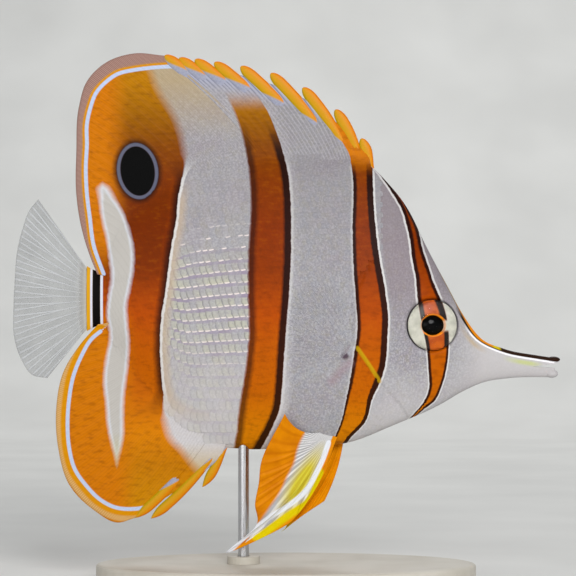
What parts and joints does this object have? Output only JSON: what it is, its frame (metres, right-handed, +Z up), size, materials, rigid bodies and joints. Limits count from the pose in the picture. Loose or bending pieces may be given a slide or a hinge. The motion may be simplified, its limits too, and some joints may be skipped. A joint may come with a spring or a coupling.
{
  "type": "copperband butterflyfish display model",
  "caption": "Life-size copperband butterflyfish with a tube snout and raised fins, held level over a flat oval base by a short rod.",
  "frame": {"origin": "middle of the underside of the stand's base, on the surface that it stands on", "axes": "+X towards the snout, +Y towards the fish's left side, +Z up"},
  "size_m": [0.1501, 0.058, 0.1446],
  "materials": {
    "skin": "satin scales, silver white with copper orange bands",
    "banded_fin": "satin fin skin, orange to golden yellow",
    "clear_fin": "clear fin skin with pale rays",
    "eye": "wet gloss, dark pupil in a silver iris",
    "stand_base": "fine matte",
    "stand_rod": "satin"
  },
  "bodies": {
    "root": {"head": "skin", "upper_jaw": "skin", "lower_jaw": "skin", "gill_cover_right": "skin", "gill_cover_left": "skin", "trunk": "skin", "tail_stem": "skin", "dorsal_fin_spiny": "banded_fin", "dorsal_fin_soft": "banded_fin", "anal_fin_spiny": "banded_fin", "anal_fin_soft": "banded_fin", "pelvic_fin_right": "banded_fin", "pelvic_fin_left": "banded_fin", "tail_fin": "clear_fin", "pectoral_fin_right": "clear_fin", "pectoral_fin_left": "clear_fin", "eye_right": "eye", "eye_left": "eye", "stand_base": "stand_base", "stand_rod": "stand_rod"}
  },
  "joints": []
}
